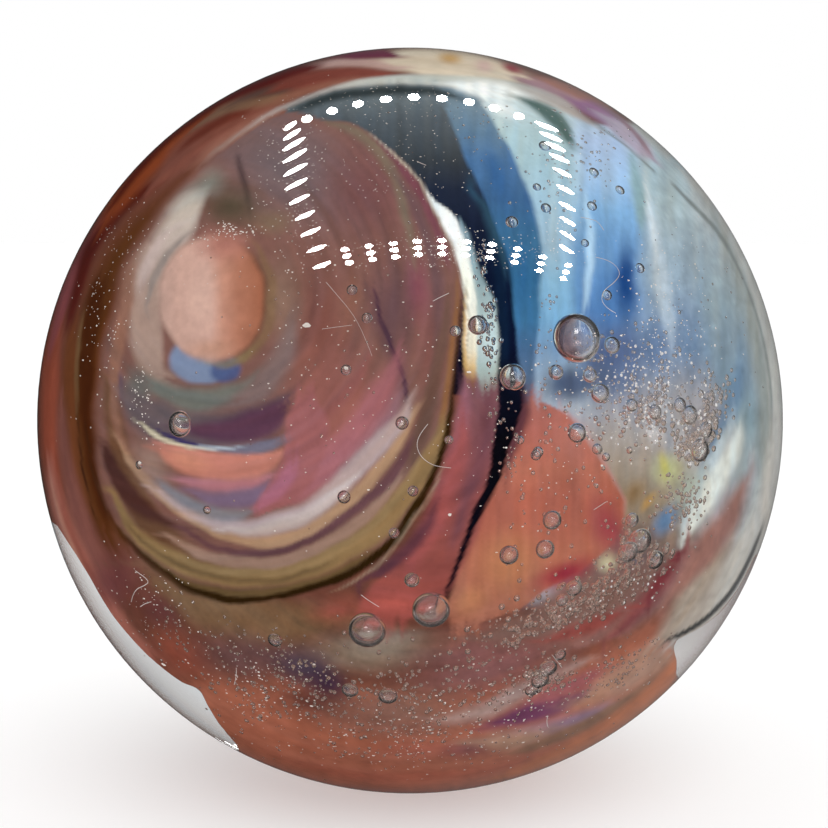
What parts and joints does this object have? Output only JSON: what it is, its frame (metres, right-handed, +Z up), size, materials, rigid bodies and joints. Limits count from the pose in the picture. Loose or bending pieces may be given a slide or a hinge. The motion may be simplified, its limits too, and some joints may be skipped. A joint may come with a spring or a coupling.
{
  "type": "glass marble",
  "caption": "Handmade solid glass ball: a swirl of brown, mauve, cream and blue glass under clear glass with trapped air bubbles.",
  "frame": {"origin": "centre of the ball", "axes": "+Z up, -Y towards the side that the picture shows, +X to its right"},
  "size_m": [0.025, 0.025, 0.025],
  "materials": {
    "clear_glass": "fire polished clear glass",
    "swirl_glass": "opaque streaky coloured glass"
  },
  "bodies": {
    "root": {"marble": "clear_glass", "colour_swirl": "swirl_glass"}
  },
  "joints": []
}
